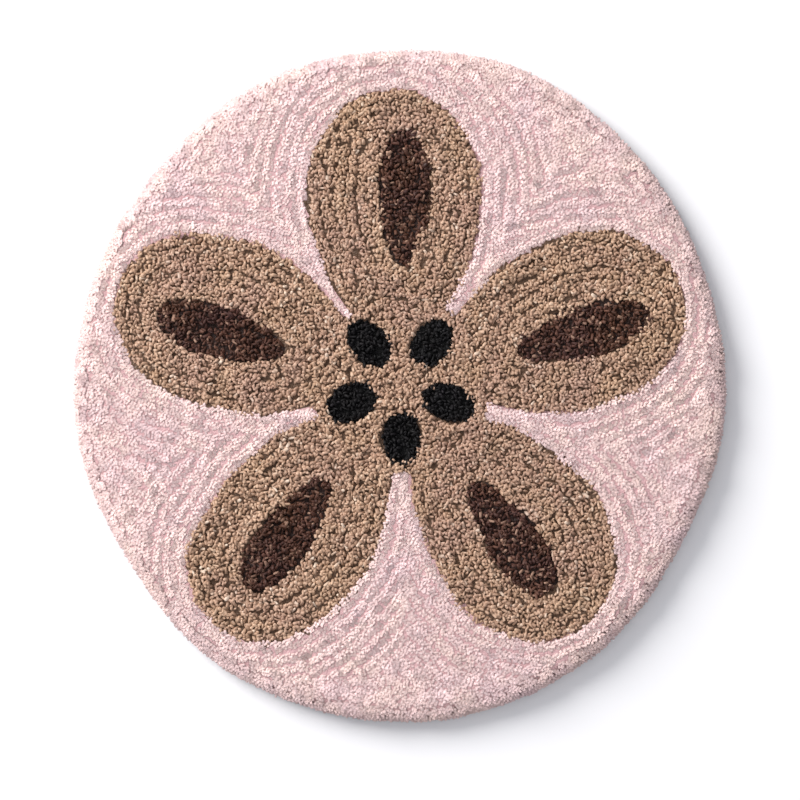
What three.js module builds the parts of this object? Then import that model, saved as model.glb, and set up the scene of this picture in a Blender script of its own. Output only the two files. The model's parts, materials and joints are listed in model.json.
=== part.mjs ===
// Round plush floor mat: one piece of tufted cloth that lies flat on the floor.
//
// A one-piece mat is one closed solid. It reaches as far as the pile does: a flat underside, a
// rim where the outer tufts lean out over the cut edge of the backing cloth and curl under, and
// a soft, slightly uneven top. The outline is round as a hand-trimmed mat is round, a little
// longer than wide and nowhere a true circle.
//
// Units are millimetres and +Z is up. The origin is in the middle of the mat's box, on the
// floor, and +Y points to the top of the pattern.

import * as THREE from 'three';

// ---- Driving dimensions ----

const MEAN_RADIUS = 228;        // outline, out to the tips of the rim tufts
const PILE_TOP = 21;            // mean height of the pile over the floor
const RIM_WIDEST_HEIGHT = 7.5;  // height at which the leaning rim tufts reach furthest out
const RIM_TUCK = 7;             // how far the flat underside stops short of the outline
const SHOULDER_WIDTH = 14;      // width of the rounded shoulder between rim and top

// Waves that turn the circle into the trimmed outline: how many crests go round, how far each
// stands out, and the direction of one crest in degrees from +X.
const OUTLINE_WAVES = [
  { crests: 2, height: 4.6, heading: 86 },
  { crests: 3, height: 0.8, heading: 55 },
  { crests: 4, height: 0.9, heading: 88 },
  { crests: 6, height: 1.1, heading: 60 },
  { crests: 9, height: 0.7, heading: 33 },
];

// Long low swells of the pile's top: crest to crest length, height, heading and start.
const TOP_SWELLS = [
  { length: 185, height: 0.45, heading: 20, start: 30 },
  { length: 120, height: 0.35, heading: 108, start: 200 },
  { length: 78, height: 0.2, heading: 65, start: 80 },
];

// ---- Fineness of the faceted solid ----

const ROUND_STEPS = 96;
const TUCK_STEPS = 4;
const SHOULDER_STEPS = 8;
const TOP_STEPS = 12;

const { degToRad } = THREE.MathUtils;

/** Radius of the outline in one direction: the mean radius and the sum of its waves. */
function outlineRadius(angle) {
  let radius = MEAN_RADIUS;
  for (const { crests, height, heading } of OUTLINE_WAVES) {
    radius += height * Math.cos(crests * (angle - degToRad(heading)));
  }
  return radius;
}

/** Height of the top's swells over one point of the mat: a sum of straight sine waves. */
function topSwell(x, y) {
  let rise = 0;
  for (const { length, height, heading, start } of TOP_SWELLS) {
    const along = x * Math.cos(degToRad(heading)) + y * Math.sin(degToRad(heading));
    rise += height * Math.sin((2 * Math.PI * along) / length + degToRad(start));
  }
  return rise;
}

/**
 * Half section of the mat from the middle of the underside round the rim to the middle of the
 * top: a flat base, a quarter ellipse that tucks under, a quarter ellipse for the shoulder, and
 * an even run back to the axis.
 */
function halfSection() {
  const points = [new THREE.Vector2(0, 0)];
  for (let step = 0; step <= TUCK_STEPS; step += 1) {
    const turn = (step / TUCK_STEPS) * (Math.PI / 2);
    points.push(new THREE.Vector2(
      MEAN_RADIUS - RIM_TUCK * (1 - Math.sin(turn)),
      RIM_WIDEST_HEIGHT * (1 - Math.cos(turn)),
    ));
  }
  for (let step = 1; step <= SHOULDER_STEPS; step += 1) {
    const turn = (step / SHOULDER_STEPS) * (Math.PI / 2);
    points.push(new THREE.Vector2(
      MEAN_RADIUS - SHOULDER_WIDTH * (1 - Math.cos(turn)),
      RIM_WIDEST_HEIGHT + (PILE_TOP - RIM_WIDEST_HEIGHT) * Math.sin(turn),
    ));
  }
  const topRadius = MEAN_RADIUS - SHOULDER_WIDTH;
  for (let step = 1; step <= TOP_STEPS; step += 1) {
    points.push(new THREE.Vector2(topRadius * (1 - step / TOP_STEPS), PILE_TOP));
  }
  return points;
}

/** The mat's closed skin: the half section turned about Z, then drawn to outline and swells. */
function matGeometry() {
  const geometry = new THREE.LatheGeometry(halfSection(), ROUND_STEPS);
  geometry.rotateX(Math.PI / 2);

  const position = geometry.attributes.position;
  for (let index = 0; index < position.count; index += 1) {
    const height = position.getZ(index);
    const stretch = outlineRadius(Math.atan2(position.getY(index), position.getX(index)));
    const x = position.getX(index) * (stretch / MEAN_RADIUS);
    const y = position.getY(index) * (stretch / MEAN_RADIUS);
    position.setXYZ(index, x, y, height + topSwell(x, y) * (height / PILE_TOP));
  }

  geometry.computeBoundingBox();
  const middle = geometry.boundingBox.getCenter(new THREE.Vector3());
  geometry.translate(-middle.x, -middle.y, 0);
  geometry.computeVertexNormals();
  return geometry;
}

const pileYarn = new THREE.MeshStandardMaterial({
  color: '#e3c4c2',
  roughness: 0.95,
  metalness: 0,
});

const mat = new THREE.Mesh(matGeometry(), pileYarn);
mat.name = 'mat';

const plushFloorMat = new THREE.Group();
plushFloorMat.add(mat);

export default plushFloorMat;
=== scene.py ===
"""Round plush floor mat: tufted yarn with an inlaid flower, lying flat on a pale floor.

The mat is made the way a hand tufter makes it. A pattern of outlines is drawn on the backing,
rows of tufts are run along every outline and along the rim until they meet, and each tuft is the
cut ends of three or four plies of soft yarn. The cloth under the pile is one closed piece. Sizes
are in millimetres until a mesh is written, and the mat's middle stands on the frame's origin.
"""

import json
import logging
import math
from dataclasses import dataclass, field
from enum import Enum
from typing import Callable, Optional

import bpy
import numpy as np
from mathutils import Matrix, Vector

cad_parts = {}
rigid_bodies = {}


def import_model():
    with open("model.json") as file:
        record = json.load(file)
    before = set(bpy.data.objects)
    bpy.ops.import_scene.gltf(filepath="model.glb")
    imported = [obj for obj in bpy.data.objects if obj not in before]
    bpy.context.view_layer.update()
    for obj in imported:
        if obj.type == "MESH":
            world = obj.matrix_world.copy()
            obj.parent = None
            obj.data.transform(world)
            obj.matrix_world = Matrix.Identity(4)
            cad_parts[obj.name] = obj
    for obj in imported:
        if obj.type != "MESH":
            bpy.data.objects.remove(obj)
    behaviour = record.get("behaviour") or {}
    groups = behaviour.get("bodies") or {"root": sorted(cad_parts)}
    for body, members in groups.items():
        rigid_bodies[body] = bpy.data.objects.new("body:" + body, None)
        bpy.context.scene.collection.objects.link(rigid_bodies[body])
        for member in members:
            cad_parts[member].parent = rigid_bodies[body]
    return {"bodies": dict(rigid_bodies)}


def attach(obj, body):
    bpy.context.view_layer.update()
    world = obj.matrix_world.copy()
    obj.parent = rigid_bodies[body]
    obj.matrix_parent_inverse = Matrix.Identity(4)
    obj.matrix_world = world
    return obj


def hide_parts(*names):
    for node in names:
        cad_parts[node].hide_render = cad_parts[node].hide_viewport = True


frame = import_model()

MM = 0.001
TURN = 2.0 * math.pi
CAD_NODE = "mat"
BODY = next(iter(frame["bodies"]))
OUTLINE_STEPS = 721  # points on a drawn outline, half a degree apart
EVERY_ROW = 1000  # more rows than fit anywhere, for a line that rows follow as far as they can

log = logging.getLogger("plush_mat")


class Draw(Enum):
    """Seeds of the random draws, one for each purpose."""

    CREASE = 5
    RIDGE = 6
    CENTRE = 7
    LUMPS = 9
    PETALS = 10
    LIP = 12
    CLUMP_X = 15
    CLUMP_Y = 16
    BREAKS = 17
    HEARTS = 30
    ROWS = 41
    SEEDS = 50
    GROUND = 100


# ---------------------------------------------------------------- colour and node helpers


def linear(code: str) -> tuple[float, float, float, float]:
    """Turns an sRGB colour into the linear light that shaders use.

    Args:
        code: The colour as "#rrggbb".

    Returns:
        Red, green, blue and an alpha of 1, each by the sRGB curve: a straight foot, then a
        power of 2.4.
    """
    parts = [int(code[i : i + 2], 16) / 255.0 for i in (1, 3, 5)]
    curve = [p / 12.92 if p <= 0.04045 else ((p + 0.055) / 1.055) ** 2.4 for p in parts]
    return (curve[0], curve[1], curve[2], 1.0)


def add_node(
    tree: bpy.types.NodeTree,
    kind: str,
    settings: Optional[dict] = None,
    inputs: Optional[dict] = None,
) -> bpy.types.Node:
    """Adds one node with its settings, its fixed inputs and its links.

    Args:
        tree: The node tree that the node goes into.
        kind: The node's type name.
        settings: Properties of the node by name.
        inputs: Inputs by name or number. A socket is linked, anything else is set.

    Returns:
        The new node.
    """
    node = tree.nodes.new(kind)
    for name, value in (settings or {}).items():
        setattr(node, name, value)
    for name, value in (inputs or {}).items():
        if isinstance(value, bpy.types.NodeSocket):
            tree.links.new(value, node.inputs[name])
        else:
            node.inputs[name].default_value = value
    return node


def map_range(
    tree: bpy.types.NodeTree,
    value: bpy.types.NodeSocket,
    source: tuple[float, float],
    target: tuple[float, float],
) -> bpy.types.NodeSocket:
    """Maps a value's range onto another, held at both ends.

    Args:
        tree: The material's nodes.
        value: The value.
        source: The range that it comes in.
        target: The range that it goes to.

    Returns:
        The mapped value's socket.
    """
    node = add_node(
        tree,
        "ShaderNodeMapRange",
        inputs={"Value": value, 1: source[0], 2: source[1], 3: target[0], 4: target[1]},
    )
    return node.outputs[0]


def mix_colours(
    tree: bpy.types.NodeTree,
    share: bpy.types.NodeSocket,
    first: bpy.types.NodeSocket | tuple,
    second: bpy.types.NodeSocket | tuple,
) -> bpy.types.NodeSocket:
    """Mixes two colours.

    Args:
        tree: The material's nodes.
        share: The second colour's share.
        first: The first colour.
        second: The second colour.

    Returns:
        The mix's socket.
    """
    node = add_node(tree, "ShaderNodeMix", {"data_type": "RGBA"}, {0: share, 6: first, 7: second})
    return node.outputs[2]


def drift(
    places: np.ndarray, length: float, draw: Draw, shift: np.ndarray | float = 0.0
) -> np.ndarray:
    """A smooth random field: ten sine waves with random headings, lengths and starts.

    The waves are added and divided by the root of half their number, which gives the spread.

    Args:
        places: Points, (n, 2), in millimetres.
        length: Typical crest to crest length in millimetres.
        draw: Picks the waves.
        shift: Moves each wave's start, by a different amount for each wave, so that a row of
            tufts with its own shift has its own version of the field.

    Returns:
        One value a point, with a spread of about one.
    """
    rng = np.random.default_rng(draw.value)
    count = 10
    shortest, longest = 0.7, 1.5
    heading = rng.uniform(0, TURN, count)
    wave = TURN / (length * rng.uniform(shortest, longest, count))
    start = rng.uniform(0, TURN, count)
    slide = rng.uniform(-1.0, 1.0, count)
    along = places @ (np.stack([np.cos(heading), np.sin(heading)]) * wave)
    phase = along + start + np.multiply.outer(np.broadcast_to(shift, len(places)), slide)
    return np.sin(phase).sum(axis=1) / math.sqrt(count / 2.0)


# ---------------------------------------------------------------- finishes


class Yarn(Enum):
    """The yarns that the mat is tufted in."""

    BLUSH = "blush"
    FAWN = "fawn"
    BARK = "bark"
    SOOT = "soot"


@dataclass(frozen=True)
class YarnFinish:
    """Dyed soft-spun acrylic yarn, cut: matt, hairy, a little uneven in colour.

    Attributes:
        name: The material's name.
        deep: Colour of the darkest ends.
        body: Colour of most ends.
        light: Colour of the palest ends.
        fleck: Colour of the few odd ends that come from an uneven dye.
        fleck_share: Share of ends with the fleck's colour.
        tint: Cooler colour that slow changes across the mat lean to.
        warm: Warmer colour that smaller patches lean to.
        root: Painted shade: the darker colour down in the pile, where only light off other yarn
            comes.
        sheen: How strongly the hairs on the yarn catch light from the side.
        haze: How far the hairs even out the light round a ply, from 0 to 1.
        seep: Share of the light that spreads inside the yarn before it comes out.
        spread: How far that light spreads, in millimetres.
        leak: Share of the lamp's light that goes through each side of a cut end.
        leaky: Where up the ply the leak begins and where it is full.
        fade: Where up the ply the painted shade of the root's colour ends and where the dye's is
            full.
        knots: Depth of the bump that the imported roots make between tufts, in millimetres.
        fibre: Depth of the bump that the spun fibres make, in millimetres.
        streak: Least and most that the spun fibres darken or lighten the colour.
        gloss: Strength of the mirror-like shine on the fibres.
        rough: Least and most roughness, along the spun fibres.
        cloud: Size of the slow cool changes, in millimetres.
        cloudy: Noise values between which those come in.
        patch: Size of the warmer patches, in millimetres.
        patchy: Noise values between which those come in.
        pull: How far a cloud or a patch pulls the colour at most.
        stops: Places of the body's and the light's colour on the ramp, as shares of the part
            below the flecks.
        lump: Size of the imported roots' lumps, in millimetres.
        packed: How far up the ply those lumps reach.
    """

    name: str
    deep: str
    body: str
    light: str
    fleck: str
    tint: str
    warm: str
    root: str
    fleck_share: float = 0.05
    sheen: float = 0.25
    haze: float = 0.0
    seep: float = 0.0
    spread: float = 0.8
    leak: float = 0.0
    leaky: tuple[float, float] = (0.3, 0.6)
    fade: tuple[float, float] = (0.0, 0.85)
    knots: float = 2.0
    fibre: float = 0.25
    streak: tuple[float, float] = (0.86, 1.1)
    gloss: float = 0.3
    rough: tuple[float, float] = (0.78, 0.95)
    cloud: float = 38.0
    cloudy: tuple[float, float] = (0.38, 0.66)
    patch: float = 23.0
    patchy: tuple[float, float] = (0.45, 0.7)
    pull: float = 0.5
    stops: tuple[float, float] = (0.45, 0.9)
    lump: float = 2.6
    packed: float = 0.4

    def dye(self, tree: bpy.types.NodeTree, place: bpy.types.NodeSocket) -> bpy.types.NodeSocket:
        """Colour of the yarn's ends.

        The end's own tone runs through a ramp from deep to light, with a step to the fleck's
        colour at the top. A slow noise pulls it to the tint, and a second one to the warm colour.

        Args:
            tree: The material's nodes.
            place: Object coordinates.

        Returns:
            The colour's socket.
        """
        tone = add_node(tree, "ShaderNodeAttribute", {"attribute_name": "tone"})
        ramp = add_node(tree, "ShaderNodeValToRGB", inputs={"Fac": tone.outputs["Fac"]})
        edge = 1.0 - self.fleck_share
        middle, pale = self.stops
        stops = [
            (0.0, self.deep),
            (middle * edge, self.body),
            (pale * edge, self.light),
            (edge, self.fleck),
        ]
        for position, _ in stops[1:-1]:
            ramp.color_ramp.elements.new(position)
        for element, (position, code) in zip(ramp.color_ramp.elements, stops):
            element.position = position
            element.color = linear(code)
        slow = add_node(
            tree,
            "ShaderNodeTexNoise",
            inputs={"Vector": place, "Scale": 1.0 / (self.cloud * MM), "Detail": 2.0},
        )
        pull = map_range(tree, slow.outputs["Fac"], self.cloudy, (0.0, self.pull))
        cool = mix_colours(tree, pull, ramp.outputs["Color"], linear(self.tint))
        patch = add_node(
            tree,
            "ShaderNodeTexNoise",
            inputs={"Vector": place, "Scale": 1.0 / (self.patch * MM), "Detail": 2.0},
        )
        pull = map_range(tree, patch.outputs["Fac"], self.patchy, (0.0, self.pull))
        return mix_colours(tree, pull, cool, linear(self.warm))

    def normal(
        self,
        tree: bpy.types.NodeTree,
        place: bpy.types.NodeSocket,
        up: bpy.types.NodeSocket,
        fibre: bpy.types.NodeSocket,
    ) -> bpy.types.NodeSocket:
        """Normal of the yarn: leant towards the pile's direction by its hairs, then bumped.

        Args:
            tree: The material's nodes.
            place: Object coordinates.
            up: How far up the ply a point lies, 0 on the bed.
            fibre: Height of the spun fibres.

        Returns:
            The normal's socket.
        """
        geometry = add_node(tree, "ShaderNodeNewGeometry")
        stand = add_node(tree, "ShaderNodeAttribute", {"attribute_name": "stand"})
        leant = add_node(
            tree,
            "ShaderNodeMix",
            {"data_type": "VECTOR"},
            {0: self.haze, 4: geometry.outputs["Normal"], 5: stand.outputs["Vector"]},
        )
        unit = add_node(
            tree, "ShaderNodeVectorMath", {"operation": "NORMALIZE"}, {0: leant.outputs[1]}
        )
        spun = add_node(
            tree,
            "ShaderNodeBump",
            inputs={"Height": fibre, "Distance": self.fibre * MM, "Normal": unit.outputs[0]},
        )
        lumps = add_node(
            tree,
            "ShaderNodeTexNoise",
            inputs={
                "Vector": place,
                "Scale": 1.0 / (self.lump * MM),
                "Detail": 2.0,
                "Roughness": 0.6,
            },
        )
        packed = add_node(
            tree,
            "ShaderNodeBump",
            inputs={
                "Height": lumps.outputs["Fac"],
                "Distance": map_range(tree, up, (0.0, self.packed), (self.knots * MM, 0.0)),
                "Normal": spun.outputs["Normal"],
            },
        )
        return packed.outputs["Normal"]

    def material(self) -> bpy.types.Material:
        """Makes the yarn's material.

        The dye's colour goes over to the root's colour down the ply, a painted shade. The spun
        fibres are slanted streaks along each ply, in the colour, the roughness and the bump. They
        are drawn coarser than real fibres, a few to each ply, so that they show at all.

        Returns:
            The material.
        """
        twist = 0.5
        streaks = (3.0, 1.4, 1.0)
        spun = (0.3, 0.7)
        acrylic_ior = 1.48
        made = bpy.data.materials.new(self.name)
        made.use_nodes = True
        tree = made.node_tree
        tree.nodes.clear()
        place = add_node(tree, "ShaderNodeTexCoord").outputs["Object"]
        wrap = add_node(tree, "ShaderNodeUVMap", {"uv_map": "yarn"}).outputs["UV"]
        up = add_node(tree, "ShaderNodeSeparateXYZ", inputs={0: wrap}).outputs["Y"]
        slant = add_node(
            tree,
            "ShaderNodeMapping",
            inputs={"Vector": wrap, "Rotation": (0, 0, twist), "Scale": streaks},
        )
        fibre = add_node(
            tree,
            "ShaderNodeTexNoise",
            inputs={"Vector": slant.outputs["Vector"], "Scale": 3.0, "Detail": 3.0},
        ).outputs["Fac"]
        # Painted shade: the colour darkens from the dye's to the root's down each ply and on the
        # bed.
        out_of_painted_shade = map_range(tree, up, self.fade, (0.0, 1.0))
        dye_with_painted_shade = mix_colours(tree, out_of_painted_shade, linear(self.root), self.dye(tree, place))
        streaked = add_node(
            tree,
            "ShaderNodeVectorMath",
            {"operation": "SCALE"},
            {0: dye_with_painted_shade, "Scale": map_range(tree, fibre, spun, self.streak)},
        )
        surface = add_node(
            tree,
            "ShaderNodeBsdfPrincipled",
            {"subsurface_method": "BURLEY"},
            {
                "Base Color": streaked.outputs[0],
                "Roughness": map_range(tree, fibre, spun, self.rough),
                "Normal": self.normal(tree, place, up, fibre),
                "IOR": acrylic_ior,
                "Specular IOR Level": self.gloss,
                "Diffuse Roughness": 0.6,
                "Subsurface Weight": self.seep,
                "Subsurface Radius": (1.0, 1.0, 1.0),
                "Subsurface Scale": self.spread * MM,
                "Sheen Weight": self.sheen,
                "Sheen Roughness": 0.5,
                "Sheen Tint": linear(self.light),
            },
        ).outputs[0]
        if self.leak:
            surface = self.let_through(tree, surface, up)
        add_node(tree, "ShaderNodeOutputMaterial", inputs={"Surface": surface})
        return made

    def let_through(
        self, tree: bpy.types.NodeTree, surface: bpy.types.NodeSocket, up: bpy.types.NodeSocket
    ) -> bpy.types.NodeSocket:
        """Lets part of the lamp's light through the cut ends of a pale yarn, as loose fibres do.

        Args:
            tree: The material's nodes.
            surface: The yarn's shader, which all other rays meet.
            up: How far up the ply a point lies. Roots let nothing through.

        Returns:
            The shader's socket.
        """
        clear = add_node(tree, "ShaderNodeBsdfTransparent")
        veil = add_node(
            tree,
            "ShaderNodeMixShader",
            inputs={
                0: map_range(tree, up, self.leaky, (0.0, self.leak)),
                1: surface,
                2: clear.outputs[0],
            },
        )
        ray = add_node(tree, "ShaderNodeLightPath")
        split = add_node(
            tree,
            "ShaderNodeMixShader",
            inputs={0: ray.outputs["Is Shadow Ray"], 1: surface, 2: veil.outputs[0]},
        )
        return split.outputs[0]


@dataclass(frozen=True)
class BackingFinish:
    """Unbleached plain-weave cotton backing cloth, stiffened with latex: dull, cream, ribbed.

    Attributes:
        name: The material's name.
        thread: Spacing of the threads in millimetres, drawn coarser than real to show at all.
        warp: Colour of the threads' crowns.
        gap: Colour between the threads, a painted shade in the weave's hollows.
        uneven: Size of the weave's uneven areas, in millimetres.
        waver: How far the threads stray from straight.
        rib: Depth of the ribs, in millimetres.
    """

    name: str = "backing_cotton_canvas_latexed"
    thread: float = 1.6
    warp: str = "#d9cdb8"
    gap: str = "#a89a83"
    uneven: float = 9.0
    waver: float = 0.8
    rib: float = 0.4

    def material(self) -> bpy.types.Material:
        """Makes the cloth's material: two crossed bands, the higher of the two on top.

        The hollows between the threads take the darker gap colour, a painted shade.

        Returns:
            The material.
        """
        band_length = 0.314  # metres from band to band where the wave texture's scale is 1
        made = bpy.data.materials.new(self.name)
        made.use_nodes = True
        tree = made.node_tree
        tree.nodes.clear()
        place = add_node(tree, "ShaderNodeTexCoord")
        wobble = add_node(
            tree,
            "ShaderNodeTexNoise",
            inputs={
                "Vector": place.outputs["Object"],
                "Scale": 1.0 / (self.uneven * MM),
                "Detail": 2.0,
            },
        )
        bands = [
            add_node(
                tree,
                "ShaderNodeTexWave",
                {"bands_direction": direction},
                {
                    "Vector": place.outputs["Object"],
                    "Scale": band_length / (self.thread * MM),
                    "Distortion": self.waver,
                    "Detail": 1.0,
                },
            )
            for direction in ("X", "Y")
        ]
        weave = add_node(
            tree,
            "ShaderNodeMath",
            {"operation": "MAXIMUM"},
            {0: bands[0].outputs["Fac"], 1: bands[1].outputs["Fac"]},
        )
        uneven = add_node(
            tree,
            "ShaderNodeMath",
            {"operation": "MULTIPLY"},
            {0: weave.outputs[0], 1: wobble.outputs["Fac"]},
        )
        # Painted shade: the hollows between the threads are darker, where the weave is low.
        colour = add_node(
            tree,
            "ShaderNodeMix",
            {"data_type": "RGBA"},
            {0: uneven.outputs[0], 6: linear(self.gap), 7: linear(self.warp)},
        )
        bump = add_node(
            tree,
            "ShaderNodeBump",
            inputs={"Height": weave.outputs[0], "Strength": 0.7, "Distance": self.rib * MM},
        )
        surface = add_node(
            tree,
            "ShaderNodeBsdfPrincipled",
            inputs={
                "Base Color": colour.outputs[2],
                "Roughness": 0.9,
                "Normal": bump.outputs["Normal"],
                "IOR": 1.5,
                "Specular IOR Level": 0.25,
            },
        )
        add_node(tree, "ShaderNodeOutputMaterial", inputs={"Surface": surface.outputs[0]})
        return made


# ---------------------------------------------------------------- the mat's form


@dataclass(frozen=True)
class Trim:
    """The mat's outline: a circle with a few low waves, as scissors leave it.

    Attributes:
        mean_radius: Radius of the circle out to the tips of the rim tufts.
        waves: Crests round the mat, height of each crest, and heading of one in degrees.
    """

    mean_radius: float = 229.5
    waves: tuple[tuple[int, float, float], ...] = (
        (2, 4.6, 86.0),
        (3, 0.8, 55.0),
        (4, 0.9, 88.0),
        (6, 1.1, 60.0),
        (9, 0.7, 33.0),
    )

    def stretch(self, angle: np.ndarray) -> np.ndarray:
        """Radius of the outline at an angle as a share of the mean: one plus its waves."""
        sway = sum(h * np.cos(n * (angle - math.radians(a))) for n, h, a in self.waves)
        return 1.0 + sway / self.mean_radius

    def middle(self) -> np.ndarray:
        """Finds the centre of the outline's box, which stands on the frame's origin.

        Returns:
            The centre, (2,).
        """
        angle = np.linspace(0, TURN, OUTLINE_STEPS)
        radius = self.mean_radius * self.stretch(angle)
        line = np.stack([radius * np.cos(angle), radius * np.sin(angle)], axis=1)
        return (line.min(axis=0) + line.max(axis=0)) / 2.0


@dataclass(frozen=True)
class PileForm:
    """Where the pile's tips and roots lie: the skin that the tips fill, and the cloth below.

    The half section runs level from the middle, round a quarter ellipse for the shoulder and on
    round a second one that tucks under. Places on it are given by the run, the distance along
    the section from the middle, so that tufts keep their spacing as they fan out over the rim.

    Attributes:
        trim: The outline.
        top: Mean height of the pile.
        widest: Height at which the rim reaches furthest out.
        tuck: How far the underside stops short of the outline.
        shoulder: Width of the shoulder.
        cloth: Height of the backing cloth's face over the floor.
        hem: How far the outermost roots lie inside the outline.
        swells: Crest to crest length, height, heading and start of the top's long swells.
        lump: Height of the lumps on the top, as a spread.
        lump_length: Typical length of a lump.
    """

    trim: Trim
    top: float = 21.0
    widest: float = 7.5
    tuck: float = 7.0
    shoulder: float = 14.0
    cloth: float = 2.0
    hem: float = 12.0
    swells: tuple[tuple[float, float, float, float], ...] = (
        (185.0, 0.45, 20.0, 30.0),
        (120.0, 0.35, 108.0, 200.0),
        (78.0, 0.2, 65.0, 80.0),
    )
    lump: float = 0.4
    lump_length: float = 30.0

    def section(self) -> tuple[np.ndarray, np.ndarray, np.ndarray]:
        """Works out the half section, from the middle outward.

        Returns:
            Three arrays: the run, the radius and the height.
        """
        steps = 65
        turn = np.linspace(0, math.pi / 2, steps)
        edge = self.trim.mean_radius
        radius = np.concatenate(
            [
                [0.0],
                edge - self.shoulder * (1 - np.sin(turn)),
                edge - self.tuck * (1 - np.cos(turn[1:])),
            ]
        )
        rise = self.top - self.widest
        height = np.concatenate(
            [[self.top], self.widest + rise * np.cos(turn), self.widest * (1 - np.sin(turn[1:]))]
        )
        run = np.concatenate([[0.0], np.cumsum(np.hypot(np.diff(radius), np.diff(height)))])
        return run, radius, height

    def full_run(self) -> float:
        """The length of the half section down to the floor."""
        return float(self.section()[0][-1])

    def swell(self, places: np.ndarray) -> np.ndarray:
        """Height of the top's swells and lumps over each point, all sums of sine waves.

        Args:
            places: Points, (n, 2).

        Returns:
            The heights, (n,).
        """
        rise = self.lump * drift(places, self.lump_length, Draw.LUMPS)
        for length, height, heading, start in self.swells:
            way = np.array([math.cos(math.radians(heading)), math.sin(math.radians(heading))])
            rise += height * np.sin(TURN * (places @ way) / length + math.radians(start))
        return rise

    def tips_and_roots(self, flat: np.ndarray) -> tuple[np.ndarray, np.ndarray]:
        """Lifts points of the spread-out pile to the skin.

        Args:
            flat: Points, (n, 2), whose distance from the middle is the run along the skin.

        Returns:
            The tips on the skin and the roots on the cloth, each (n, 3). A root lies straight
            under its tip, but over the shoulder the roots are packed closer than the tips.
        """
        run_at, radius_at, height_at = self.section()
        angle = np.arctan2(flat[:, 1], flat[:, 0])
        stretch = self.trim.stretch(angle)
        run = np.hypot(flat[:, 0], flat[:, 1]) / stretch
        ring = np.stack([np.cos(angle), np.sin(angle)], axis=1) * stretch[:, None]
        height = np.interp(run, run_at, height_at)
        plan = ring * np.interp(run, run_at, radius_at)[:, None]
        height = height + self.swell(plan) * height / self.top
        level = self.trim.mean_radius - self.shoulder
        last = self.trim.mean_radius - self.hem
        rooted = np.interp(run, [0.0, level, run_at[-1]], [0.0, level, last])
        middle = self.trim.middle()
        tips = np.column_stack([plan - middle, height])
        roots = np.column_stack([ring * rooted[:, None] - middle, np.full(len(flat), self.cloth)])
        return tips, roots


# ---------------------------------------------------------------- the pattern


@dataclass(frozen=True)
class Leaf:
    """A rounded shape about its own axis: a petal, a petal's heart, a seed or the centre.

    At a turn t from 0 to a full turn it lies start + length * (1 - cos t) / 2 along its axis
    and width / 2 * sin t * (1 - fullness * cos t) beside it. The hand that drew it adds a slight
    waver to the width, of three and of five waves round the shape.

    Attributes:
        heading: Direction of the axis in degrees.
        start: Where it begins, from the flower's middle.
        length: Its length.
        width: Its width.
        fullness: Above 0 it is widest past its middle, below 0 before it.
        waver: Size of the waver as a share of the width.
        seed: Picks the waver.
    """

    heading: float
    start: float
    length: float
    width: float
    fullness: float = 0.0
    waver: float = 0.012
    seed: int = 0

    def side(self, turn: np.ndarray) -> np.ndarray:
        """Distance beside the axis at each turn, positive to the left.

        Args:
            turn: Turns in radians, (n,).

        Returns:
            The distances, (n,).
        """
        waves = np.sin(3 * turn + self.seed) + np.sin(5 * turn + 2.3 * self.seed)
        waver = 1.0 + self.waver * waves
        return self.width / 2 * np.sin(turn) * (1 - self.fullness * np.cos(turn)) * waver

    def axis(self) -> np.ndarray:
        """Unit vectors along and beside the axis, as the rows of a 2 by 2 array."""
        angle = math.radians(self.heading)
        return np.array([[math.cos(angle), math.sin(angle)], [-math.sin(angle), math.cos(angle)]])

    def line(self, step: float = 0.7) -> np.ndarray:
        """The outline as an anticlockwise closed run of points.

        Args:
            step: Their spacing in millimetres.

        Returns:
            The points, (n, 2).
        """
        fewest = 12
        turn = np.linspace(0, TURN, OUTLINE_STEPS)
        along = self.start + self.length * (1 - np.cos(turn)) / 2
        points = np.column_stack([along, -self.side(turn)]) @ self.axis()
        run = np.concatenate([[0.0], np.cumsum(np.hypot(*np.diff(points, axis=0).T))])
        even = np.linspace(0, run[-1], max(fewest, int(run[-1] / step)), endpoint=False)
        return np.column_stack([np.interp(even, run, points[:, i]) for i in range(2)])

    def holds(self, points: np.ndarray) -> np.ndarray:
        """True for each point inside the outline.

        Args:
            points: Points, (n, 2).

        Returns:
            A mask, (n,).
        """
        along, beside = (points @ self.axis().T).T
        cosine = 1 - 2 * (along - self.start) / self.length
        inside = np.abs(cosine) < 1
        turn = np.arccos(np.clip(cosine, -1, 1))
        limit = np.where(beside < 0, self.side(turn), -self.side(TURN - turn))
        return inside & (np.abs(beside) < limit)


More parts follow.
